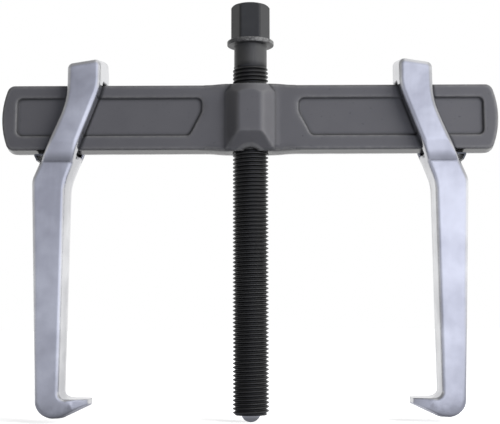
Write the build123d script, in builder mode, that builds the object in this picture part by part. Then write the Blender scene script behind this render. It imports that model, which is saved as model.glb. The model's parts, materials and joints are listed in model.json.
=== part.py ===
from build123d import *
import os
from math import radians, sqrt, tan

# Two-jaw gear puller with arms that slide on a crossbeam.  Millimetres, +Z up.
# The origin is the pole of the steel ball at the tip of the forcing screw, on
# the screw's axis.  X runs along the crossbeam and -Y is the front.  Heights
# that belong to the beam or the arms are given from the beam's middle.

os.makedirs("parts", exist_ok=True)

# ---- driving dimensions: crossbeam ---------------------------------------
beam_length = 252.4
beam_height = 35.0  # at the forging's parting line, Y = 0
beam_depth = 17.0
beam_end_radius = 42.0
beam_corner_radius = 5.0
beam_edge_radius = 1.2
beam_draft = 7.0  # degrees, each way from the parting line

hub_depth = 30.0  # across the flats of its plan
hub_rise = 0.7  # how far the hub's ends stand over the rails
hub_land = 20.0  # length of the raised land along X
hub_swell = 46.0  # length over which the rails rise to that land
hub_edge_radius = 4.0
hub_root_radius = 8.0
hub_sides = 8
hub_bevel_height = 10.4  # from the hub's foot up to where the lower bevel begins
hub_bevel_angle = 36.0  # of that bevel, from the screw's axis
hub_cone_depth = 4.9  # from the hub's top down to where the upper cone begins
hub_cone_angle = 32.0  # of that cone, from the screw's axis
bore_mouth = 0.9  # countersink at each end of the threaded bore

panel_depth = 1.1
panel_top_rail = 6.2  # what is left of the face above a panel
panel_foot_rail = 6.9  # and below it
panel_end_margin = 8.2
panel_start = 24.0  # from the screw's axis to the panel's near side
panel_slant = 6.5  # how far that side leans outwards at its foot
panel_slant_top = 3.0  # over the beam's middle, where the side begins to lean
panel_corner_radius = 3.0
panel_wall_angle = 30.0

# ---- driving dimensions: forcing screw and ball --------------------------
thread_diameter = 18.0
thread_length = 175.5
thread_fit = 0.06  # radial clearance of the screw in the hub's bore
thread_end_chamfer = 1.0
tip_height = 151.3  # from the ball's pole up to the beam's middle, at rest
neck_relief = 0.6  # how far the neck lies below the thread's crests
neck_length = 11.0
neck_radius = 0.6
collar_diameter = 24.0
collar_rim = 2.2
collar_slope = 1.0
collar_edge_radius = 0.5
hex_across_flats = 17.7
hex_height = 19.1
hex_corner_radius = 1.6
hex_crown_rim = 15.2  # diameter of the flat on top of the hexagon
hex_crown_radius = 2.8  # of the turned rounding outside that flat
ball_diameter = 10.0
ball_projection = 3.5
ball_fit = 0.05

# ---- driving dimensions: arms --------------------------------------------
arm_draft = 7.0  # degrees, each way from the parting line, Y = 0
arm_station = 73.2  # from the screw's axis to the inner edge of the head
head_width = 20.0
head_wall = 13.8  # metal over the beam, at the head's inner edge
head_top_slope = 3.2  # how much lower the head's top is at its outer edge
head_corner_radius = 3.0
head_edge_radius = 2.4
cheek = 6.2  # wall on each face of the slot
cheek_taper = 11.0  # height over which the cheeks thin down
cheek_foot = 5.0  # below the beam, where they end in a crease
cheek_crease = 0.9  # what still stands over the leg there
inner_bend_rise = 14.7  # over the beam's middle
inner_bend_radius = 25.0
outer_bend_rise = 8.6
outer_bend_radius = 45.0
inner_elbow_drop = 15.9  # below the beam
inner_elbow_radius = 24.0
outer_elbow_drop = 14.0
outer_elbow_radius = 10.0
leg_offset = 18.1  # of the leg's inner edge from the head's
leg_setback = 5.0  # of the leg's front and rear faces from the head's
leg_edge_radius = 2.0
leg_lean = 0.8  # outward lean of the leg's inner edge
elbow_width = 18.9
ankle_width = 13.6  # of the leg, at the level of the hook's foot
reach = 121.9  # from the beam to the hooks' gripping faces
hook_length = 13.5
hook_thickness = 10.1
hook_root_radius = 4.5
hook_heel_radius = 8.5
hook_sole_radius = 8.0
hook_sole_slope = 23.4
hook_nose = 4.0
hook_nose_radius = 0.6
toe_length = 12.5  # over which the hook narrows towards its nose
toe_joint = 6.0  # from the nose to where the leg's rounded edges begin
toe_width = 13.0
toe_corner_radius = 2.5
slot_side_gap = 0.3
slot_roof_gap = 0.4
slot_corner_radius = 0.8
slot_mouth = 0.7

# ---- driving dimensions: friction springs --------------------------------
spring_gap = 0.3  # from the crown of the spring to the beam
spring_thickness = 0.8
spring_bow = 0.5
spring_width = 16.0
spring_inset = 1.6  # of its turned-down heel from the slot's inner mouth
spring_heel = 1.2
spring_fit = 0.2  # round the heel, in its groove
spring_overhang = 3.6  # of its outer end from the slot's outer mouth
spring_lip = 2.4
spring_lip_lean = 1.2

# ---- modelling values ----------------------------------------------------
margin = 1.0  # how far a cutting piece runs past what it cuts
near = 0.01  # within which faces and edges are found by their place

# ---- derived -------------------------------------------------------------
rail = beam_height / 2
half_depth = beam_depth / 2
hub_half = rail + hub_rise
hub_front = hub_depth / 2
cone_start = hub_half - hub_cone_depth
bevel_start = hub_bevel_height - hub_half
thread_radius = thread_diameter / 2
neck_diameter = thread_diameter - 2 * neck_relief
bore_radius = thread_radius + thread_fit
slot_half = half_depth + slot_side_gap
head_half = slot_half + cheek
leg_half = head_half - leg_setback
face_half = rail - half_depth * tan(radians(beam_draft))
slot_roof = rail + slot_roof_gap
slot_floor = rail + spring_gap + spring_thickness + spring_bow
hook_face = rail + reach
arm_foot = hook_face + hook_thickness
leg_inner = arm_station + leg_offset
beam_middle = Plane.XZ.shift_origin((0, 0, tip_height))


def is_rail_face(face):
    """Tells the rails' front and rear faces from the beam's other faces."""
    return abs(abs(face.center().Y) - half_depth) < near


def runs_along_x(edge):
    """Tells straight edges along the beam from all others."""
    return abs(edge.tangent_at(0.5).X) > 1 - near


def is_mouth_edge(edge):
    """Tells the edges round the slot's two mouths from the rest of an arm."""
    beside_slot = max(abs(v.Y) for v in edge.vertices()) < slot_half + near
    within_slot = abs(edge.center().Z - tip_height) < slot_floor + near
    return beside_slot and within_slot and not runs_along_x(edge)


def rings(piece, diameter):
    """The round edges of a turned piece that have this diameter, lowest first."""
    circles = piece.edges().filter_by(GeomType.CIRCLE)
    return circles.filter_by(lambda e: abs(2 * e.radius - diameter) < near).sort_by(Axis.Z)


def finish(piece, name):
    """Names a finished piece and writes its STEP file."""
    piece.part.label = name
    export_step(piece.part, f"parts/{name}.step")


# ---- crossbeam -----------------------------------------------------------
# what the turned cone takes off the hub's upper corners, clear of the rails
with BuildPart() as cone_waste:
    with BuildSketch(beam_middle):
        with BuildLine():
            cone_run = hub_half * tan(radians(hub_cone_angle))
            Polyline(
                (hub_front, cone_start),
                (hub_front - cone_run, cone_start + hub_half),
                (hub_depth, cone_start + hub_half),
                (hub_depth, cone_start - hub_half),
                (hub_front + cone_run, cone_start - hub_half),
                close=True,
            )
        make_face()
    revolve(axis=Axis.Z)
    with Locations((0, 0, tip_height)):
        Box(4 * hub_depth, beam_depth, 4 * hub_half, mode=Mode.SUBTRACT)

# what the lower bevels take off the hub's front and rear flats
with BuildPart() as bevel_waste:
    with BuildSketch(Plane.YZ.shift_origin((0, 0, tip_height))):
        with BuildLine():
            bevel_run = hub_front - half_depth
            Polyline(
                (hub_front, bevel_start),
                (half_depth, bevel_start - bevel_run / tan(radians(hub_bevel_angle))),
                (half_depth, -2 * hub_half),
                (hub_depth, -2 * hub_half),
                (hub_depth, bevel_start),
                close=True,
            )
        make_face()
        mirror(about=Plane.YZ)
    extrude(amount=hub_front + hub_root_radius, both=True)

# front view: rails with a shallow swell at the hub, and arched ends
with BuildSketch(beam_middle) as outline:
    with BuildLine():
        land = Line((0, hub_half), (hub_land / 2, hub_half))
        swell_middle = ((hub_land + hub_swell) / 4, (hub_half + rail) / 2)
        crest = TangentArc(land @ 1, swell_middle, tangent=land % 1)
        foot = TangentArc(swell_middle, (hub_swell / 2, rail), tangent=crest % 1)
        arch_centre = beam_length / 2 - beam_end_radius
        corner = arch_centre + sqrt(beam_end_radius**2 - rail**2)
        top = Line(foot @ 1, (corner, rail))
        mirror((land, crest, foot, top), about=Plane.XZ)
        ThreePointArc((corner, rail), (beam_length / 2, 0), (corner, -rail))
        mirror(about=Plane.YZ)
    make_face()
    corners = outline.vertices().filter_by(lambda v: abs(v.X) > corner - near)
    fillet(corners, beam_corner_radius)

# plan: the many-sided hub runs into the rails' faces with a root radius
with BuildPart() as hub:
    extrude(outline.sketch, amount=hub_front, both=True, taper=beam_draft)
    with BuildSketch(Plane.XY) as plan:
        RegularPolygon(hub_front, hub_sides, major_radius=False, rotation=180 / hub_sides)
        Rectangle(hub_depth + 2 * hub_root_radius, beam_depth)
        ridges = plan.vertices().filter_by(lambda v: abs(v.Y) > hub_front - near)
        roots = plan.vertices().filter_by(lambda v: abs(v.X) < hub_front)
        fillet(ridges, hub_edge_radius)
        fillet(roots - ridges, hub_root_radius)
    extrude(amount=tip_height + 2 * hub_half, mode=Mode.INTERSECT)
    add((cone_waste.part, bevel_waste.part), mode=Mode.SUBTRACT)

with BuildPart() as crossbeam:
    extrude(outline.sketch, amount=half_depth, both=True, taper=beam_draft)
    fillet(crossbeam.faces().filter_by(is_rail_face).edges(), beam_edge_radius)
    add(hub.part)

    # recessed panels, two on the front and two on the back
    for side in (-1, 1):
        face = Plane((0, side * half_depth, tip_height), x_dir=(-side, 0, 0), z_dir=(0, side, 0))
        with BuildSketch(face):
            with BuildLine():
                panel_top = face_half - panel_top_rail
                panel_foot = panel_foot_rail - face_half
                panel_end = beam_length / 2 - panel_end_margin
                Polyline(
                    (panel_start, panel_top),
                    (panel_end, panel_top),
                    (panel_end, panel_foot),
                    (panel_start + panel_slant, panel_foot),
                    (panel_start, panel_slant_top),
                    close=True,
                )
            panel = make_face()
            fillet(panel.vertices(), panel_corner_radius)
            mirror(about=Plane.YZ)
        extrude(amount=-panel_depth, taper=panel_wall_angle, mode=Mode.SUBTRACT)

    # threaded bore, with a countersink at each end
    with Locations((0, 0, tip_height)):
        Hole(bore_radius)
    upper_mouth = Location((0, 0, tip_height + hub_half))
    lower_mouth = Location((0, 0, tip_height - hub_half), (180, 0, 0))
    with Locations(upper_mouth, lower_mouth):
        Cone(
            bore_radius,
            bore_radius + bore_mouth,
            bore_mouth,
            align=(Align.CENTER, Align.CENTER, Align.MAX),
            mode=Mode.SUBTRACT,
        )
finish(crossbeam, "crossbeam")

# ---- forcing screw -------------------------------------------------------
with BuildPart() as forcing_screw:
    with BuildSketch(Plane.XZ):
        with BuildLine():
            end_z = ball_projection
            thread_top = end_z + thread_length
            neck_top = thread_top + neck_length
            rim_top = neck_top + collar_rim
            slope_top = rim_top + collar_slope
            Polyline(
                (0, end_z),
                (thread_radius - thread_end_chamfer, end_z),
                (thread_radius, end_z + thread_end_chamfer),
                (thread_radius, thread_top),
                (neck_diameter / 2, thread_top),
                (neck_diameter / 2, neck_top),
                (collar_diameter / 2, neck_top),
                (collar_diameter / 2, rim_top),
                (hex_across_flats / 2, slope_top),
                (0, slope_top),
                close=True,
            )
        make_face()
    revolve(axis=Axis.Z)
    fillet(rings(forcing_screw, collar_diameter), collar_edge_radius)
    fillet(rings(forcing_screw, neck_diameter)[-1], neck_radius)

    # hexagonal head, with two of its flats to the front and the rear
    with BuildSketch(Plane.XY.offset(rim_top)):
        hexagon = RegularPolygon(hex_across_flats / 2, 6, major_radius=False)
        fillet(hexagon.vertices(), hex_corner_radius)
    extrude(amount=hex_height)

    # the turned crown that breaks the hexagon's upper corners
    with BuildSketch(Plane.XZ):
        with BuildLine():
            hex_top = rim_top + hex_height
            crown = JernArc((hex_crown_rim / 2, hex_top), (1, 0), hex_crown_radius, -90)
            Polyline(
                crown @ 1,
                (hex_across_flats, hex_top - hex_crown_radius),
                (hex_across_flats, hex_top + margin),
                (hex_crown_rim / 2, hex_top + margin),
                crown @ 0,
            )
        make_face()
    revolve(axis=Axis.Z, mode=Mode.SUBTRACT)

    # socket that holds the ball past its middle
    with Locations((0, 0, ball_diameter / 2)):
        Sphere(ball_diameter / 2 + ball_fit, mode=Mode.SUBTRACT)
finish(forcing_screw, "forcing_screw")

# ---- ball ----------------------------------------------------------------
with BuildPart() as tip_ball:
    with Locations((0, 0, ball_diameter / 2)):
        Sphere(ball_diameter / 2)
finish(tip_ball, "tip_ball")

# ---- arms ----------------------------------------------------------------
head_top = rail + head_wall
head_outer = arm_station + head_width
elbow_outer = leg_inner + elbow_width
ankle_inner = leg_inner + leg_lean
ankle_outer = ankle_inner + ankle_width
nose_x = ankle_inner - hook_length
sole_x = nose_x + (hook_thickness - hook_nose) / tan(radians(hook_sole_slope))
crease = -rail - cheek_foot
grip_allowance = leg_half * tan(radians(arm_draft))  # machined off the hook
forged_face = hook_face - grip_allowance
arm_reach_x = max(head_outer, elbow_outer, ankle_outer) + margin

# front view at the parting line, as corners and their radii, from the head's
# inner corner round the outside of the arm to the hook and back up its inside
arm_corners = (
    ((arm_station, head_top), head_corner_radius),
    ((head_outer, head_top - head_top_slope), head_corner_radius),
    ((head_outer, outer_bend_rise), outer_bend_radius),
    ((elbow_outer, -rail - outer_elbow_drop), outer_elbow_radius),
    ((ankle_outer, -arm_foot), hook_heel_radius),
    ((sole_x, -arm_foot), hook_sole_radius),
    ((nose_x, -hook_face - hook_nose), hook_nose_radius),
    ((nose_x, -forged_face), hook_nose_radius),
    ((ankle_inner, -forged_face), hook_root_radius - grip_allowance),
    ((leg_inner, -rail - inner_elbow_drop), inner_elbow_radius),
    ((arm_station, inner_bend_rise), inner_bend_radius),
)
with BuildSketch(beam_middle) as arm_outline:
    with BuildLine():
        Polyline(*[point for point, radius in arm_corners], close=True)
    make_face()


def forge_front(blank, depth):
    """Fills a part with the arm's front half: its outline carried forward from
    the parting line and drafted, then rounded at its corners."""
    extrude(arm_outline.sketch, amount=depth)
    sides = blank.faces().filter_by(lambda f: abs(f.normal_at().Y) < near)
    draft(sides, neutral_plane=Plane.XZ, angle=arm_draft)
    for (x, height), radius in arm_corners:
        corner = Vector(x, 0, tip_height + height)
        touching = blank.edges().filter_by(
            lambda e: min((e @ 0 - corner).length, (e @ 1 - corner).length) < near
        )
        fillet(touching.sort_by(lambda e: abs(e.tangent_at(0.5).Y))[-1], radius)


# the head: two cheeks joined over the beam, which thin down to a crease
with BuildPart() as head:
    forge_front(head, head_half)
    with BuildSketch(Plane.YZ.shift_origin((0, 0, tip_height))):
        with BuildLine():
            upper = Line((0, 2 * head_top), (-head_half, 2 * head_top))
            face = Line(upper @ 1, (-head_half, crease + cheek_taper))
            under = TangentArc(face @ 1, (-leg_half - cheek_crease, crease), tangent=(0, -1))
            step = Line(under @ 1, (leg_edge_radius - leg_half, crease - cheek_crease))
            foot = Line(step @ 1, (0, crease - cheek_crease))
            Line(foot @ 1, upper @ 0)
        make_face()
    extrude(amount=arm_reach_x, both=True, mode=Mode.INTERSECT)
    cheek_faces = head.faces().filter_by(
        lambda f: abs(f.normal_at().X) < near and f.center().Y < -leg_half
    )
    rims = cheek_faces.edges().filter_by(
        lambda e: e.center().Z > tip_height or not runs_along_x(e)
    )
    fillet(rims, head_edge_radius)
    mirror(about=Plane.XZ)

# the space round the hook's toe, whose edges stay crisp
with BuildPart() as toe_space:
    with Locations((nose_x + toe_joint, 0, tip_height - forged_face + margin)):
        Box(
            toe_joint + margin,
            2 * (leg_half + margin),
            arm_foot - forged_face + 2 * margin,
            align=(Align.MAX, Align.CENTER, Align.MAX),
        )
with BuildPart() as toe:
    forge_front(toe, leg_half)
    add(toe_space.part, mode=Mode.INTERSECT)

# plan of the toe, which narrows to a rounded nose
with BuildSketch(Plane.XY) as toe_plan:
    toe_root = nose_x + toe_length
    with BuildLine():
        nose = Line((nose_x, -toe_width / 2), (nose_x, toe_width / 2))
        flank = TangentArc((toe_root, leg_half), nose @ 1, tangent=(-1, 0))
        mirror(flank, about=Plane.XZ)
        Line((toe_root, leg_half), (toe_root, -leg_half))
    make_face()
    fillet(toe_plan.vertices().group_by(Axis.X)[0], toe_corner_radius)

# the leg and its hook
with BuildPart() as leg:
    forge_front(leg, leg_half)
    add(toe_space.part, mode=Mode.SUBTRACT)
    front_edges = leg.faces().sort_by(Axis.Y)[0].edges()
    beyond_toe = front_edges.filter_by(lambda e: e.center().X > nose_x + toe_joint + near)
    fillet(beyond_toe, leg_edge_radius)
    add(toe.part)
    # the gripping face, machined flat up to its root radius
    with BuildSketch(beam_middle):
        with BuildLine():
            root_start = (ankle_inner - hook_root_radius, -hook_face)
            grip = Line((nose_x - margin, -hook_face), root_start)
            root = JernArc(root_start, (1, 0), hook_root_radius, 90)
            Polyline(root @ 1, (nose_x - margin, hook_root_radius - hook_face), grip @ 0)
        make_face()
    extrude(amount=leg_half + margin, mode=Mode.SUBTRACT)
    mirror(about=Plane.XZ)
    with BuildSketch(Plane.XY.offset(tip_height - arm_foot - margin)):
        with Locations((toe_root, 0)):
            Rectangle(
                toe_length + margin,
                2 * (leg_half + margin),
                align=(Align.MAX, Align.CENTER),
            )
        add(toe_plan.sketch, mode=Mode.SUBTRACT)
    extrude(amount=hook_thickness + hook_root_radius + 2 * margin, mode=Mode.SUBTRACT)

# where the slot's floor comes out on the arm's inner and outer faces
inner_slope = leg_offset / (inner_bend_rise + rail + inner_elbow_drop)
outer_slope = (elbow_outer - head_outer) / (outer_bend_rise + rail + outer_elbow_drop)
inner_mouth = arm_station + (inner_bend_rise + slot_floor) * inner_slope
outer_mouth = head_outer + (outer_bend_rise + slot_floor) * outer_slope
heel_x = inner_mouth + spring_inset

# the finished arm: head and leg in one forging, with the slot cut through
with BuildPart() as right_arm:
    add((head.part, leg.part))
    with BuildSketch(Plane.YZ.shift_origin((0, 0, tip_height))):
        with Locations((0, (slot_roof - slot_floor) / 2)):
            RectangleRounded(2 * slot_half, slot_roof + slot_floor, slot_corner_radius)
    extrude(amount=arm_reach_x, mode=Mode.SUBTRACT)
    chamfer(right_arm.edges().filter_by(is_mouth_edge), slot_mouth)
    # groove in the slot's floor for the heel of the spring
    with Locations((heel_x - spring_fit, 0, tip_height - slot_floor)):
        Box(
            spring_thickness + 2 * spring_fit,
            spring_width + 2 * spring_fit,
            2 * (spring_heel + spring_fit),
            align=(Align.MIN, Align.CENTER, Align.CENTER),
            mode=Mode.SUBTRACT,
        )
finish(right_arm, "right_arm")

with BuildPart() as left_arm:
    add(mirror(right_arm.part, about=Plane.YZ))
finish(left_arm, "left_arm")

# ---- friction springs ----------------------------------------------------
with BuildPart() as right_spring:
    with BuildSketch(beam_middle):
        with BuildLine():
            seat_z = -slot_floor
            lip_x = outer_mouth + spring_overhang - spring_thickness
            turn_x = heel_x + spring_thickness
            heel = Line((turn_x, seat_z - spring_heel), (turn_x, seat_z))
            bow = ThreePointArc(
                heel @ 1,
                ((heel_x + outer_mouth) / 2, seat_z + spring_bow),
                (outer_mouth - spring_inset, seat_z),
            )
            run = Line(bow @ 1, (lip_x, seat_z))
            lip = Line(run @ 1, (lip_x - spring_lip_lean, seat_z - spring_lip))
            offset(amount=spring_thickness, side=Side.LEFT)
        make_face()
    extrude(amount=spring_width / 2, both=True)
finish(right_spring, "right_spring")

with BuildPart() as left_spring:
    add(mirror(right_spring.part, about=Plane.YZ))
finish(left_spring, "left_spring")
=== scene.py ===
import json
from math import acos, cos, pi, radians, sin

import bmesh
import bpy
import numpy as np
from mathutils import Matrix, Vector


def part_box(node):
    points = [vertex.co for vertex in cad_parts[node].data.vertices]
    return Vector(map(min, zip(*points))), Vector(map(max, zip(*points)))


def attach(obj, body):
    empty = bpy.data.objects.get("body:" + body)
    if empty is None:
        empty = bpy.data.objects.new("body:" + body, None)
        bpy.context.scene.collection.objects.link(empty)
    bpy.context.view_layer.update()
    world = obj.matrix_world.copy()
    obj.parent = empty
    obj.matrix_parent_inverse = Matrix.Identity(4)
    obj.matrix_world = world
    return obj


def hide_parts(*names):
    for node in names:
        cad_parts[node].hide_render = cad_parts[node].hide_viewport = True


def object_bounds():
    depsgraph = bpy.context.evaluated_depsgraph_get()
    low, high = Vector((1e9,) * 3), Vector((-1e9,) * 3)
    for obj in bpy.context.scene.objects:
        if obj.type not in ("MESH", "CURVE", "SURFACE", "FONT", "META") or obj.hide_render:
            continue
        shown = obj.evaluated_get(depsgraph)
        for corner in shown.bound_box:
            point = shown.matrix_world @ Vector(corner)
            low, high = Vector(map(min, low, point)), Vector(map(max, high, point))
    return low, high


# Two-jaw gear puller.  Metres, +Z up, -Y is the front.  The crossbeam, the
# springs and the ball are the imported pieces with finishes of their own.  The
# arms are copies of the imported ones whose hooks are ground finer, and the
# forcing screw is rebuilt here with its cut thread.

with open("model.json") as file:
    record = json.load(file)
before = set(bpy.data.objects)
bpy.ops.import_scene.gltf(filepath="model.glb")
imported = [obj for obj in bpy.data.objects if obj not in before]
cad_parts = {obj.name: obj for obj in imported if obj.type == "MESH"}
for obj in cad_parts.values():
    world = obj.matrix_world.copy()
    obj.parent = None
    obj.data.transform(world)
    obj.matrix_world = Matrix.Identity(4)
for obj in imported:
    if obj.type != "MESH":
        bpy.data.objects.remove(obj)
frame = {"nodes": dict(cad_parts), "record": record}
cad_low, cad_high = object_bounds()
nodes = frame["nodes"]

MM = 0.001

# ---- places in the frame -------------------------------------------------
middle = (cad_low + cad_high) / 2
beam_low, beam_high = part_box("crossbeam")
beam_middle = (beam_low + beam_high) / 2
screw_low, screw_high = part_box("forcing_screw")
ball_low, ball_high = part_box("tip_ball")
mounts = {mount["name"]: mount["pos_m"] for mount in frame["record"]["mounts"]}
grip_height = mounts["right_hook_face"][2]

# ---- sizes of the forcing screw ------------------------------------------
THREAD_RADIUS = 9.0 * MM
THREAD_PITCH = 2.0 * MM
THREAD_LENGTH = 175.5 * MM
THREAD_CREST = 0.125  # widths of the crest and of the root, in pitches
THREAD_ROOT = 0.167
THREAD_DEPTH = 0.6134 * THREAD_PITCH  # as on any metric screw
END_CHAMFER = 1.3 * MM
NECK_RADIUS = 8.4 * MM
NECK_LENGTH = 11.0 * MM
COLLAR_RADIUS = (screw_high.x - screw_low.x) / 2
COLLAR_RIM = 2.2 * MM
COLLAR_SLOPE = 1.0 * MM
COLLAR_ROUND = 0.5 * MM
NECK_ROUND = 0.6 * MM  # in the corner under the collar
HEX_ACROSS_FLATS = 17.7 * MM
HEX_CORNER = 1.6 * MM
HEX_ROOT_ROUND = 0.3 * MM  # where the collar's slope meets the hexagon
CROWN_FLAT = 7.6 * MM  # radius of the flat on top, inside the turned rounding
CROWN_ROUND = 2.8 * MM
SOCKET_GAP = 0.05 * MM

end_z = screw_low.z
thread_top = end_z + THREAD_LENGTH
neck_top = thread_top + NECK_LENGTH
rim_top = neck_top + COLLAR_RIM
slope_top = rim_top + COLLAR_SLOPE

# ---- sizes of the ground hooks -------------------------------------------
NOSE_X = 78.6 * MM
HEEL_X = 98 * MM  # from where the hook is ground thinner
HEEL_SHARE = 0.98  # of the hook's depth that is left at the heel
NOSE_SHARE = 0.74  # and at the nose
SOLE_POWER = 1.6  # above 1, the grinding starts without a corner

# ---- how finely the surfaces are divided ---------------------------------
AROUND = 72  # sides of a turned surface
AROUND_SIDE = 32  # points along each side of the hexagon
ARC_STEPS = 6  # points along a small rounding
SOCKET_STEPS = 12  # and along the ball's socket
WELD = 0.002 * MM  # points closer than this are one
CREASE = radians(32)  # an edge sharper than this isn't smoothed
HEX_CREASE = radians(20)
ARM_CREASE = radians(30)


# ---- surfaces ------------------------------------------------------------
def grid_faces(rows, columns):
    """Four-sided faces of a grid of points: each joins row r, column c with
    the next row and the next column."""
    row, column = np.mgrid[0 : rows - 1, 0 : columns - 1]
    first = (row * columns + column).ravel()
    return np.stack([first, first + 1, first + columns + 1, first + columns], axis=1)


def on_rings(radius, angle, height):
    """Points and faces of a grid round the Z axis: the point at angle a is
    (radius cos a, radius sin a, height)."""
    points = np.stack([radius * np.cos(angle), radius * np.sin(angle), height], axis=2)
    return points.reshape(-1, 3), grid_faces(*height.shape)


def turned(profile):
    """A profile of (radius, height) turned about the Z axis, so that every
    point of it makes one ring."""
    profile = np.asarray(profile, float)
    angle = np.linspace(0, 2 * pi, AROUND + 1)
    return on_rings(profile[:, :1], angle, profile[:, 1:] + 0 * angle)


def unit(vector):
    """The vector at a length of one."""
    return vector / np.linalg.norm(vector)


def rounded(corners, radii):
    """A profile whose corners are arcs.  An arc's centre is on the corner's
    middle line, at radius / sin(half the corner's angle), and its points run
    at even angles from one tangent point to the other."""
    corners = [np.asarray(corner, float) for corner in corners]
    out = [corners[0]]
    for before, here, after, radius in zip(corners, corners[1:], corners[2:], radii):
        back = unit(before - here)
        ahead = unit(after - here)
        inwards = unit(back + ahead)
        half = acos(np.clip(back @ ahead, -1, 1)) / 2
        centre = here + inwards * radius / sin(half)
        aside = unit(back - (back @ inwards) * inwards)
        spread = pi / 2 - half
        for turn in np.linspace(spread, -spread, ARC_STEPS):
            out.append(centre + radius * (aside * sin(turn) - inwards * cos(turn)))
    out.append(corners[-1])
    return np.array(out)


def weld(mesh, crease):
    """Joins points that lie together, drops empty faces and turns the rest
    outwards, then smooths all but the edges sharper than the crease."""
    work = bmesh.new()
    work.from_mesh(mesh)
    bmesh.ops.remove_doubles(work, verts=work.verts, dist=WELD)
    bmesh.ops.dissolve_degenerate(work, edges=work.edges, dist=WELD / 2)
    bmesh.ops.recalc_face_normals(work, faces=work.faces)
    work.to_mesh(mesh)
    work.free()
    mesh.shade_smooth()
    mesh.set_sharp_from_angle(angle=crease)


def add_object(name, data):
    """A new object at the origin."""
    made = bpy.data.objects.new(name, data)
    bpy.context.scene.collection.objects.link(made)
    return made


def piece(name, surfaces, body, material, crease=CREASE):
    """One welded mesh from several (points, faces) surfaces."""
    mesh = bpy.data.meshes.new(name)
    starts = np.cumsum([0] + [len(points) for points, faces in surfaces])
    points = np.concatenate([points for points, faces in surfaces])
    faces = np.concatenate([faces + start for (_, faces), start in zip(surfaces, starts)])
    mesh.from_pydata(points.tolist(), [], faces.tolist())
    weld(mesh, crease)
    mesh.materials.append(material)
    made = add_object(name, mesh)
    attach(made, body)
    return made


# ---- materials -----------------------------------------------------------
class Wiring:
    """A shader's tree of nodes, and a short way to add and join them."""

    def __init__(self, tree):
        self.tree = tree

    def node(self, kind, *values, **inputs):
        """A node whose inputs are given in their order, or by socket name
        with _ for a space, as values or as other nodes' outputs."""
        made = self.tree.nodes.new("ShaderNode" + kind)
        for socket, value in zip(made.inputs, values):
            self.put(socket, value)
        for key, value in inputs.items():
            self.put(made.inputs[key.replace("_", " ")], value)
        return made

    def put(self, socket, value):
        """Joins a socket to another node's output, or sets its value."""
        if isinstance(value, bpy.types.NodeSocket):
            self.tree.links.new(value, socket)
        else:
            socket.default_value = value

    def maths(self, operation, *values):
        """What a Math node makes of values or other nodes' outputs."""
        made = self.node("Math", *values)
        made.operation = operation
        return made.outputs[0]

    def length(self, vector):
        """How long a vector is."""
        made = self.node("VectorMath", vector)
        made.operation = "LENGTH"
        return made.outputs["Value"]

    def axes(self, place):
        """A place's X, Y and Z by name."""
        return self.node("SeparateXYZ", place).outputs

    def blend(self, amount, low, high):
        """Colour between low and high as amount goes from 0 to 1."""
        made = self.node("Mix")
        made.data_type = "RGBA"
        self.put(made.inputs[0], amount)
        self.put(made.inputs[6], low)
        self.put(made.inputs[7], high)
        return made.outputs[2]

    def span(self, value, low, high, to_low, to_high, eased=False):
        """Value carried from the range low..high to the range
        to_low..to_high, in a straight line or eased at both ends."""
        made = self.node("MapRange", value, low, high, to_low, to_high)
        if eased:
            made.interpolation_type = "SMOOTHSTEP"
        return made.outputs["Result"]


class Finish(Wiring):
    """A material with its shader, patterned by place on the object."""

    def __init__(self, name):
        self.material = bpy.data.materials.new(name)
        self.material.use_nodes = True
        super().__init__(self.material.node_tree)
        self.shader = self.tree.nodes["Principled BSDF"]
        self.place = self.node("TexCoord").outputs["Object"]

    def set(self, **inputs):
        """Sets or joins sockets of the shader itself."""
        for key, value in inputs.items():
            self.put(self.shader.inputs[key.replace("_", " ")], value)

    def noise(self, size, detail=3.0, roughness=0.5, place=None):
        """Cloudy pattern from 0 to 1, whose features are about size long."""
        return self.node(
            "TexNoise",
            Vector=place or self.place,
            Scale=1 / size,
            Detail=detail,
            Roughness=roughness,
        ).outputs["Fac"]

    def spread(self, noise, low, high):
        """A noise's usual range, 0.3 to 0.7, carried to low..high."""
        return self.span(noise, 0.3, 0.7, low, high)

    def away(self, value, middle):
        """How far the value is from the middle, on either side."""
        return self.maths("ABSOLUTE", self.maths("SUBTRACT", value, middle))

    def scaled(self, scale):
        """Place with its X, Y and Z multiplied by the scale's."""
        return self.node("Mapping", self.place, Scale=scale).outputs["Vector"]

    def openness(self, reach, inside=False):
        """Open share of the space within reach: low in a recess, or with
        inside, low on an outer edge."""
        made = self.node("AmbientOcclusion", Distance=reach)
        made.inside = inside
        return made.outputs["AO"]

    def relief(self, *layers, softened=None):
        """Bumps from (height, depth) layers, coarse first, depth in metres,
        over edges that look softened by this radius."""
        normal = None
        if softened is not None:
            normal = self.node("Bevel", Radius=softened).outputs["Normal"]
        for height, depth in layers:
            made = self.node("Bump", Height=height, Distance=depth, Strength=1.0)
            if normal is not None:
                self.put(made.inputs["Normal"], normal)
            normal = made.outputs["Normal"]
        self.set(Normal=normal)


def grey(value, warmth=0.0):
    """A near-grey colour, warmer for a positive warmth."""
    return (value * (1 + warmth), value, value * (1 - warmth), 1)


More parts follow.
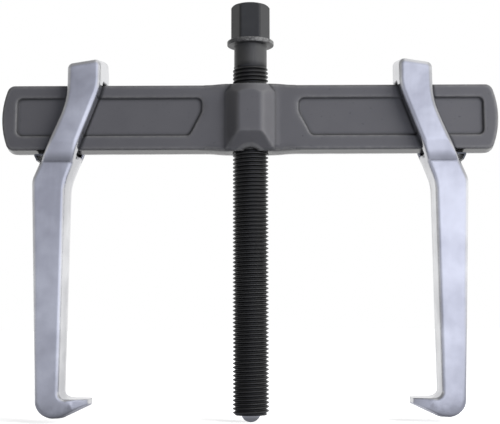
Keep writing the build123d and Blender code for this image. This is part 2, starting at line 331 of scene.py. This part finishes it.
PAINT_DARK = (0.064, 0.063, 0.069, 1)
PAINT_LIGHT = (0.080, 0.079, 0.085, 1)
PAINT_PIT = (0.042, 0.042, 0.046, 1)
# Pale tone of outer edges: rubbed paint, and a painted highlight where they catch the light.
PAINT_RUBBED_AND_HIGHLIGHT = grey(0.17)
# Painted shade: the near-black that recesses and inner corners are darkened towards.
PAINT_RECESS_SHADE = grey(0.010)
EDGE_REACH = 2.2 * MM  # how far from an edge or a wall the paint differs: rubbed and painted highlight on an edge, painted shade by a wall
EDGE_WEAR_AND_HIGHLIGHT = 0.75  # most of the pale tone on a rubbed edge, partly wear and partly a painted highlight
UNDERSIDE_GLOSS = 0.24  # how much smoother the beam is underneath
UNDERSIDE_TOP = beam_low.z + 3 * MM  # below this it grows smoother
UNDERSIDE_FULL = beam_low.z + 1.5 * MM  # and below this it is smoothest
HUB_FOOT = 17 * MM  # from the axis to where the hub runs into the beam
HUB_REACH = (4 * MM, 10 * MM)  # off the foot, from its softness to the beam's
HUB_SOFTNESS = 6 * MM  # radius that the hub's foot looks softened by
BEAM_SOFTNESS = 1.6 * MM  # and the beam's other edges


def forged_paint():
    """Dark grey coating over a hot-forged skin: cloudy tone, fine grain, a
    few pits, smoother underneath, soft hollows round the hub, painted shade
    that darkens recesses and inner corners, and outer edges that are rubbed
    paler in places, partly wear and partly a painted highlight."""
    made = Finish("forged_dark_grey")
    cloud = made.noise(11 * MM, detail=4)
    grain = made.noise(0.7 * MM, detail=3)
    pits = made.span(made.noise(1.6 * MM, detail=2), 0.68, 0.8, 0, 1)
    tone = made.blend(cloud, PAINT_DARK, PAINT_LIGHT)
    tone = made.blend(pits, tone, PAINT_PIT)
    # Painted highlight and wear: outer edges turn paler in patches.
    edge = made.span(made.openness(EDGE_REACH, inside=True), 0.98, 0.75, 0, 1)
    wear_and_highlight = made.spread(made.noise(3 * MM, detail=4), EDGE_WEAR_AND_HIGHLIGHT / 3, EDGE_WEAR_AND_HIGHLIGHT)
    tone = made.blend(made.maths("MULTIPLY", edge, wear_and_highlight), tone, PAINT_RUBBED_AND_HIGHLIGHT)
    # Painted shade: recesses and inner corners are darkened.
    plain = made.span(made.openness(EDGE_REACH), 0.72, 0.97, 0, 1)
    tone = made.blend(plain, PAINT_RECESS_SHADE, tone)
    axes = made.axes(made.place)
    under = made.span(axes["Z"], UNDERSIDE_FULL, UNDERSIDE_TOP, -UNDERSIDE_GLOSS, 0)
    made.set(
        Base_Color=tone,
        Roughness=made.maths("ADD", made.spread(cloud, 0.32, 0.42), under),
        Specular_IOR_Level=0.65,
    )
    foot = made.away(made.away(axes["X"], 0), HUB_FOOT)
    made.relief(
        (made.noise(16 * MM, detail=1), 0.15 * MM),
        (grain, 0.008 * MM),
        (pits, -0.02 * MM),
        softened=made.span(foot, *HUB_REACH, HUB_SOFTNESS, BEAM_SOFTNESS),
    )
    return made.material


CHROME_DARK = (0.48, 0.482, 0.506, 1)  # along the belt's streaks
CHROME_LIGHT = (0.59, 0.593, 0.617, 1)
CHROME_HAZE = (0.73, 0.735, 0.755, 1)
BELT_STREAKS = (1, 1, 0.12)  # scale of the place that draws them out along Z
FOLD_HEIGHT = beam_middle.z - 22.5 * MM  # where an arm's cheeks end
FOLD_REACH = (1.5 * MM, 5 * MM)  # off the fold, from its softness to the arm's
FOLD_SOFTNESS = 1.8 * MM  # radius that the fold looks softened by
ARM_SOFTNESS = 1.2 * MM  # and the arm's other edges


def satin_chrome():
    """Satin chrome plate over a lightly rippled forging, cloudy and streaked
    from the belt, with soft edges and a softer fold where the cheeks end."""
    made = Finish("satin_chrome")
    cloud = made.noise(20 * MM, detail=2)
    streaks = made.noise(6 * MM, detail=2, place=made.scaled(BELT_STREAKS))
    haze = made.span(cloud, 0.36, 0.62, 0, 1)
    clear = made.blend(streaks, CHROME_DARK, CHROME_LIGHT)
    fold = made.away(made.axes(made.place)["Z"], FOLD_HEIGHT)
    made.set(
        Base_Color=made.blend(haze, clear, CHROME_HAZE),
        Metallic=1.0,
        Roughness=made.spread(cloud, 0.15, 0.26),
    )
    made.relief(
        (made.noise(26 * MM, detail=1), 0.3 * MM),
        (made.noise(9 * MM, detail=2), 0.1 * MM),
        (streaks, 0.05 * MM),
        (made.noise(0.5 * MM), 0.003 * MM),
        softened=made.span(fold, *FOLD_REACH, FOLD_SOFTNESS, ARM_SOFTNESS),
    )
    return made.material


COLLAR_PALE_REACH = 1.4 * MM  # how far in from the collar's rim the black is paler in patches


def black_oxide():
    """Blackened steel: darkest in the thread's roots, greyer on the plain
    neck, and paler in patches round the rim of the collar."""
    made = Finish("black_oxide")
    cloud = made.noise(4 * MM, detail=4)
    rim_patches = made.span(made.noise(1.3 * MM, detail=3), 0.35, 0.65, 0, 1)
    radius = made.length(made.scaled((1, 1, 0)))  # from the Z axis
    height = made.axes(made.place)["Z"]
    crest = made.span(radius, THREAD_RADIUS - THREAD_DEPTH, THREAD_RADIUS, 0, 1)
    tone = made.blend(crest, grey(0.004), made.blend(cloud, grey(0.012), grey(0.026)))
    neck = made.span(height, thread_top, thread_top + THREAD_PITCH, 0, 1)
    tone = made.blend(neck, tone, made.blend(cloud, grey(0.028), grey(0.045)))
    rim = made.span(radius, COLLAR_RADIUS - COLLAR_PALE_REACH, COLLAR_RADIUS, 0, 1)
    tone = made.blend(rim, tone, made.blend(rim_patches, grey(0.045), grey(0.13)))
    made.set(
        Base_Color=tone,
        Roughness=made.spread(cloud, 0.34, 0.46),
        Specular_IOR_Level=0.5,
    )
    made.relief((cloud, 0.03 * MM))
    return made.material


def oiled_steel():
    """Blackened head of the screw: satin and cloudy, with a faint ripple
    and a fine grain."""
    made = Finish("oiled_steel")
    cloud = made.noise(6 * MM, detail=4)
    made.set(
        Base_Color=made.blend(cloud, grey(0.010, -0.03), grey(0.022, -0.03)),
        Roughness=made.spread(cloud, 0.3, 0.42),
        Specular_IOR_Level=0.5,
    )
    made.relief((made.noise(3 * MM), 0.03 * MM), (made.noise(0.6 * MM), 0.008 * MM))
    return made.material


def bearing_ball():
    """Polished ball with a faint haze."""
    made = Finish("bearing_ball")
    haze = made.noise(1.5 * MM)
    made.set(
        Base_Color=made.blend(haze, grey(0.85), grey(0.92)),
        Metallic=1.0,
        Roughness=made.spread(haze, 0.08, 0.16),
    )
    return made.material


ROLLED_STREAKS = (0.05, 1, 1)  # scale of the place that draws them out along X


def spring_strip():
    """Blue-grey tempered strip, streaked along its length."""
    made = Finish("spring_strip")
    streaks = made.noise(0.3 * MM, detail=2, place=made.scaled(ROLLED_STREAKS))
    made.set(
        Base_Color=made.blend(streaks, grey(0.1, -0.03), grey(0.18, -0.03)),
        Metallic=1.0,
        Roughness=made.spread(streaks, 0.28, 0.4),
    )
    return made.material


# ---- forcing screw -------------------------------------------------------
def thread():
    """Helical ridge on a rod: row u at angle a stands at height
    end + pitch (u + a / full turn), so each row climbs by one pitch a turn.
    Its radius follows the crest, flank and root of the profile at u, is cut
    by the end's cone, and fades into the neck over the last pitch."""
    flank = (1 - THREAD_CREST - THREAD_ROOT) / 2
    eased = THREAD_CREST / 4  # the crest falls a little before its flanks
    profile = np.array(  # place along the pitch, and share of the depth there
        [
            (0, 0),
            (THREAD_CREST, 0),
            (THREAD_CREST + eased, 0.02),
            (THREAD_CREST + flank, 1),
            (1 - flank, 1),
            (1 - eased, 0.02),
        ]
    )
    turns = np.arange(-1, int(THREAD_LENGTH / THREAD_PITCH) + 2)
    u = (turns[:, None] + profile[:, 0]).ravel()
    sunk = np.tile(profile[:, 1], len(turns)) * THREAD_DEPTH
    angle = np.linspace(0, 2 * pi, AROUND + 1)
    height = end_z + THREAD_PITCH * (u[:, None] + angle / (2 * pi))
    height = np.clip(height, end_z, thread_top)
    radius = THREAD_RADIUS - sunk[:, None] + 0 * angle
    radius = np.minimum(radius, THREAD_RADIUS - END_CHAMFER + (height - end_z))
    fade = np.clip((height - thread_top) / THREAD_PITCH + 1, 0, 1)
    return on_rings(radius + (NECK_RADIUS - radius) * fade, angle, height)


def shaft():
    """Tip with its ball socket, thread, neck and collar.  The tip and the
    head are turned profiles that share the thread's end rings, and the
    socket's is an arc about the ball's centre from its top to the end."""
    ball_radius = (ball_high.x - ball_low.x) / 2
    ball_centre = ball_low.z + ball_radius
    socket = ball_radius + SOCKET_GAP
    sweep = np.linspace(0, acos((end_z - ball_centre) / socket), SOCKET_STEPS)
    hollow = np.stack([socket * np.sin(sweep), ball_centre + socket * np.cos(sweep)], axis=1)
    tip = np.concatenate([hollow, [(THREAD_RADIUS - END_CHAMFER, end_z)]])
    head = rounded(
        [
            (NECK_RADIUS, thread_top),
            (NECK_RADIUS, neck_top),
            (COLLAR_RADIUS, neck_top),
            (COLLAR_RADIUS, rim_top),
            (HEX_ACROSS_FLATS / 2, slope_top),
            (0, slope_top),
        ],
        [NECK_ROUND, COLLAR_ROUND, COLLAR_ROUND, HEX_ROOT_ROUND],
    )
    return [turned(tip), thread(), turned(head)]


def hexagon():
    """Rounded six-sided bar under a turned crown.  At an angle off the
    middle of a flat the bar's radius is the flat's, (half across flats) /
    cos(off), or on a corner the rounding's.  The crown is a quarter arc
    turned about Z, and each side of the bar runs up to where the arc has the
    bar's radius."""
    angle = np.linspace(0, 2 * pi, 6 * AROUND_SIDE + 1)
    off_flat = np.abs((angle + pi / 6) % (pi / 3) - pi / 6)
    off_corner = pi / 6 - off_flat
    flat = HEX_ACROSS_FLATS / 2
    centre = (flat - HEX_CORNER) / cos(pi / 6)
    aside = centre * np.sin(off_corner)
    corner = centre * np.cos(off_corner) + np.sqrt(np.maximum(HEX_CORNER**2 - aside**2, 0))
    spread = np.arctan2(HEX_CORNER / 2, centre + HEX_CORNER * cos(pi / 6))
    bar = np.where(off_corner < spread, corner, flat / np.cos(off_flat))
    lean = np.arcsin((bar - CROWN_FLAT) / CROWN_ROUND)
    up = lean * np.linspace(1, 0, ARC_STEPS + 1)[:, None]
    crown = screw_high.z - CROWN_ROUND
    ring = 0 * angle
    radius = np.vstack([ring, bar, CROWN_FLAT + CROWN_ROUND * np.sin(up), ring])
    height = np.vstack(
        [
            ring + rim_top,
            ring + rim_top,
            crown + CROWN_ROUND * np.cos(up),
            ring + screw_high.z,
        ]
    )
    return on_rings(radius, angle + pi / 6, height)


screw_shaft = piece("screw_shaft", shaft(), "screw", black_oxide())
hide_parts("forcing_screw")
piece("screw_hexagon", [hexagon()], "screw", oiled_steel(), HEX_CREASE)


# ---- arms ----------------------------------------------------------------
def ground_arm(name, node, side, material):
    """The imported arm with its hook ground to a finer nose.  The depth of a
    point below the gripping face is scaled by a share that falls from
    HEEL_SHARE at the heel to NOSE_SHARE at the nose, as the power SOLE_POWER
    of the way along."""
    mesh = nodes[node].data.copy()
    mesh.name = name
    place = np.empty(3 * len(mesh.vertices), np.float32)
    mesh.vertices.foreach_get("co", place)
    place = place.reshape(-1, 3)
    along = np.clip((HEEL_X - side * place[:, 0]) / (HEEL_X - NOSE_X), 0, 1)
    share = HEEL_SHARE + (NOSE_SHARE - HEEL_SHARE) * along**SOLE_POWER
    depth = np.clip(grip_height - place[:, 2], 0, None)
    place[:, 2] += depth * (1 - share)
    mesh.vertices.foreach_set("co", place.ravel())
    if "custom_normal" in mesh.attributes:
        mesh.attributes.remove(mesh.attributes["custom_normal"])
    weld(mesh, ARM_CREASE)
    mesh.materials.clear()
    mesh.materials.append(material)
    made = add_object(name, mesh)
    made.modifiers.new("even_shading", "WEIGHTED_NORMAL").keep_sharp = True
    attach(made, node)
    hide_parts(node)


chrome = satin_chrome()
ground_arm("left_arm_ground", "left_arm", -1, chrome)
ground_arm("right_arm_ground", "right_arm", 1, chrome)

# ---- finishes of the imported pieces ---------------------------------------
strip = spring_strip()
finishes = {
    "crossbeam": forged_paint(),
    "tip_ball": bearing_ball(),
    "left_spring": strip,
    "right_spring": strip,
}
for name, finish in finishes.items():
    mesh = nodes[name].data
    mesh.materials.clear()
    mesh.materials.append(finish)


# ---- studio --------------------------------------------------------------
# A pair says where a change begins and ends: on the floor in metres from the
# origin, in the tent as X, Y or Z of a direction whose length is one.
TENT_PEAK = 1.55
TENT_SIDE = (  # X of the direction, and the brightness in front there
    (-1.0, 0.7),
    (-0.5, 0.55),
    (-0.24, 0.62),
    (-0.1, 0.78),
    (0.05, 1.2),
    (0.16, 1.48),
    (0.32, TENT_PEAK),
    (0.55, 1.1),
    (0.95, 1.25),
)
TENT_HEIGHT = (0.08, 0.36)  # Z, from eye level upwards
TENT_OVERHEAD = 0.62  # share of the brightness overhead
TENT_BACK = (0.35, 0.8)  # Y, to the white behind
TENT_WHITE = 0.95  # share of white behind, where the rest is as in front
TENT_COOL = (-0.95, -0.5)  # Y, out of the cool front
TENT_TINT = (0.82, 0.85, 1.0, 1)
ROOM_LIGHT = 0.2  # share of the tent's brightness that lights the piece

FLOOR_RADIUS = 12
FLOOR_WHITE = 0.74  # the floor's own light to the eye, near the piece
FLOOR_FADE = (0.25, 1.0)  # out to where that is a full white
FLOOR_LEFT, FLOOR_RIGHT = 0.6, 1.2  # mirrored brightness in front
FLOOR_SIDE = (-0.1, 0.06)  # X, from the one to the other
FLOOR_NEAR = 0.5  # share of that close in front of the piece
FLOOR_FRONT = (-0.2, -0.08)  # Y, from the whole brightness to that share
FLOOR_BEHIND = 0.95  # mirrored brightness behind the piece
FLOOR_BACK = (-0.02, 0.12)  # Y, from the front's brightness to that
FLOOR_CONTACT_SHADOW = 0.3  # share of the mirrored brightness right under a foot, a painted shadow
FLOOR_GAP = 9 * MM  # how far off that painted shadow reaches
FLOOR_COLOUR = 0.8  # its grey to the eye,
FLOOR_BOUNCE = 0.35  # in the light that it gives back to the piece,
FLOOR_DARK = 0.02  # and in mirrored rays, which see its own light instead
FLOOR_SIDES = 96

KEY_PLACE = (0.95, -0.62, 0.55)
KEY_SIZE = (1.2, 1.0)
KEY_POWER = 34  # watts

CAMERA_PLACE = Vector((12 * MM, -553.9 * MM, -104.3 * MM))  # from the beam's middle
CAMERA_TILT = radians(98)  # from looking straight down
CAMERA_ROLL = radians(-0.24)
CAMERA_FILM = 36
CAMERA_LENS = 79.2
CAMERA_SHIFT = (-0.0484, -0.0816)
CAMERA_NEAREST = 0.01


def floor_material():
    """Pale matt floor that takes the piece's shadow and meets the backdrop's
    white.  Metal mirrors it white behind the piece and, like the tent, dimmer
    on the left in front, dark close by, and darkest under the feet, where a
    shadow is painted into its mirrored glow."""
    made = Finish("pale_floor")
    path = made.node("LightPath").outputs
    seen, mirrored = path["Is Camera Ray"], path["Is Glossy Ray"]
    axes = made.axes(made.place)
    side = made.span(axes["X"], *FLOOR_SIDE, FLOOR_LEFT, FLOOR_RIGHT)
    near = made.span(axes["Y"], *FLOOR_FRONT, 1, FLOOR_NEAR)
    front = made.maths("MULTIPLY", side, near)
    bright = made.span(axes["Y"], *FLOOR_BACK, front, FLOOR_BEHIND)
    # Painted shadow: the floor's mirrored glow darkens near the feet.
    painted_contact_shadow = made.span(made.openness(FLOOR_GAP), 0.25, 1, FLOOR_CONTACT_SHADOW, 1)
    reflected = made.maths("MULTIPLY", bright, painted_contact_shadow)
    white = made.span(made.length(made.place), *FLOOR_FADE, FLOOR_WHITE, 1)
    direct = made.maths("MULTIPLY", seen, white)
    behind = made.span(axes["Y"], *FLOOR_BACK, 0, 1)
    tint = made.blend(behind, TENT_TINT, grey(1.0))
    unseen = made.blend(mirrored, grey(FLOOR_BOUNCE), grey(FLOOR_DARK))
    made.set(
        Base_Color=made.blend(seen, unseen, grey(FLOOR_COLOUR)),
        Roughness=0.9,
        Specular_IOR_Level=0.0,
        Emission_Color=made.blend(mirrored, grey(1.0), tint),
        Emission_Strength=made.maths("MULTIPLY_ADD", reflected, mirrored, direct),
    )
    return made.material


def add_floor():
    """A wide round floor at the height of the origin."""
    bpy.ops.mesh.primitive_circle_add(
        vertices=FLOOR_SIDES, radius=FLOOR_RADIUS, fill_type="NGON"
    )
    floor = bpy.context.object
    floor.name = "floor"
    floor.data.materials.append(floor_material())


def add_room():
    """White background, in a tent that is white behind the piece and in
    front brighter on the right, dimmer overhead and cooler."""
    world = bpy.data.worlds.new("room")
    bpy.context.scene.world = world
    world.use_nodes = True
    made = Wiring(world.node_tree)
    path = made.node("LightPath").outputs
    axes = made.axes(made.node("TexCoord").outputs["Generated"])
    side = made.node("ValToRGB", made.span(axes["X"], -1, 1, 0, 1))
    stops = side.color_ramp.elements
    for position, brightness in TENT_SIDE[1:-1]:
        stops.new((position + 1) / 2)
    for stop, (position, brightness) in zip(stops, TENT_SIDE):
        stop.position = (position + 1) / 2
        stop.color = grey(brightness / TENT_PEAK)
    sideways = made.maths("MULTIPLY", side.outputs[0], TENT_PEAK)
    upwards = made.span(axes["Z"], *TENT_HEIGHT, 1, TENT_OVERHEAD, eased=True)
    front = made.maths("MULTIPLY", sideways, upwards)
    back = made.span(axes["Y"], *TENT_BACK, 0, TENT_WHITE, eased=True)
    bright = made.span(back, 0, 1, front, 1)
    share = made.span(path["Is Glossy Ray"], 0, 1, ROOM_LIGHT, 1)
    warm = made.span(axes["Y"], *TENT_COOL, 0, 1, eased=True)
    tent = world.node_tree.nodes["Background"]
    made.put(tent.inputs["Color"], made.blend(warm, TENT_TINT, grey(1.0)))
    made.put(tent.inputs["Strength"], made.maths("MULTIPLY", bright, share))
    white = made.node("Background", grey(1.0))
    seen = made.maths("MAXIMUM", path["Is Camera Ray"], path["Is Transmission Ray"])
    mix = made.node("MixShader", seen, tent.outputs[0], white.outputs[0])
    made.put(world.node_tree.nodes["World Output"].inputs["Surface"], mix.outputs[0])


def add_softbox(name, place, target, size, power):
    """A rectangular lamp turned to a target, which metal doesn't mirror."""
    lamp = bpy.data.lights.new(name, "AREA")
    lamp.shape = "RECTANGLE"
    lamp.size, lamp.size_y = size
    lamp.energy = power
    made = add_object(name, lamp)
    made.visible_glossy = False
    made.location = place
    aim = made.location - target
    made.rotation_euler = aim.to_track_quat("Z", "Y").to_euler()


def add_camera():
    """Below the beam, in front of it and a little to its right, tilted up."""
    lens = bpy.data.cameras.new("camera")
    lens.sensor_width = CAMERA_FILM
    lens.lens = CAMERA_LENS
    lens.shift_x, lens.shift_y = CAMERA_SHIFT
    lens.clip_start = CAMERA_NEAREST
    made = add_object("camera", lens)
    made.location = beam_middle + CAMERA_PLACE
    tilt = Matrix.Rotation(CAMERA_TILT, 3, "X")
    made.rotation_euler = (tilt @ Matrix.Rotation(CAMERA_ROLL, 3, "Z")).to_euler()
    bpy.context.scene.camera = made


add_floor()
add_room()
add_softbox("key", KEY_PLACE, middle, KEY_SIZE, KEY_POWER)
add_camera()

scene = bpy.context.scene
scene.view_settings.view_transform = "Standard"
